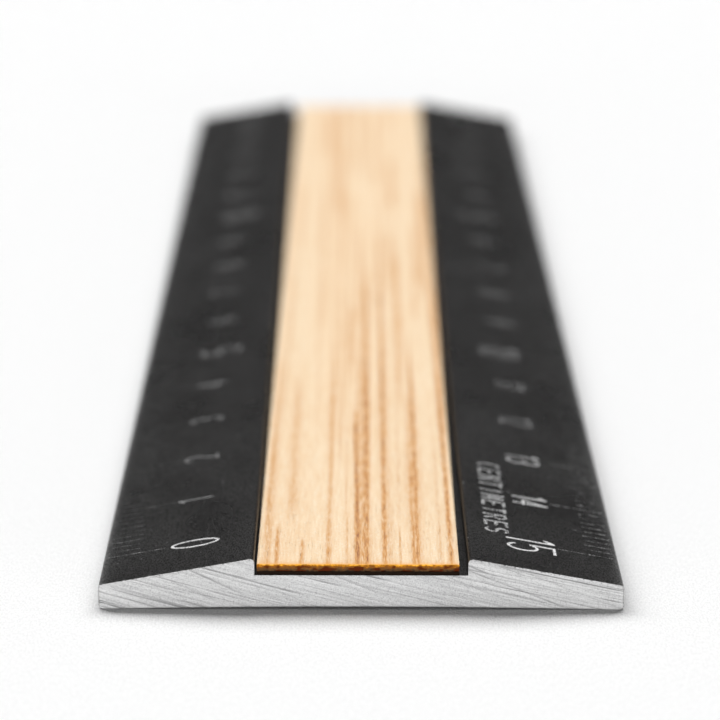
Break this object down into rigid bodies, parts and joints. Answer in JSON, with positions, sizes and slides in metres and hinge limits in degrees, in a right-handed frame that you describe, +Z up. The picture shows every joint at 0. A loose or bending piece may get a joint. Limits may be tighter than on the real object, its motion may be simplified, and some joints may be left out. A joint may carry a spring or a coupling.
{
  "type": "pocket ruler",
  "caption": "Short flat ruler: black anodised aluminium bar with bevelled, graduated edges, bare saw-cut ends and a wood veneer strip inlaid in a shallow central groove.",
  "frame": {"origin": "centre of the underside, at the height of the two narrow feet along its long edges", "axes": "+X across the ruler towards the edge whose scale ends at the -Y end, +Y along the ruler from the end where the left-hand scale starts, +Z up from the surface it rests on"},
  "size_m": [0.03, 0.16, 0.003],
  "materials": {
    "anodised_aluminium": "black anodised and satin on the extruded faces, bare and saw-marked silver on the two cut ends",
    "wood_veneer": "light open-grained veneer, unvarnished, with browned ends",
    "adhesive": "thin dark adhesive film",
    "white_marking": "fine matt white marking"
  },
  "bodies": {
    "root": {"extruded_body": "anodised_aluminium", "adhesive_film": "adhesive", "wood_strip": "wood_veneer", "left_centimetre_lines": "white_marking", "left_half_centimetre_lines": "white_marking", "left_millimetre_lines": "white_marking", "left_numbers": "white_marking", "right_centimetre_lines": "white_marking", "right_half_centimetre_lines": "white_marking", "right_millimetre_lines": "white_marking", "right_numbers": "white_marking", "unit_name": "white_marking"}
  },
  "joints": []
}
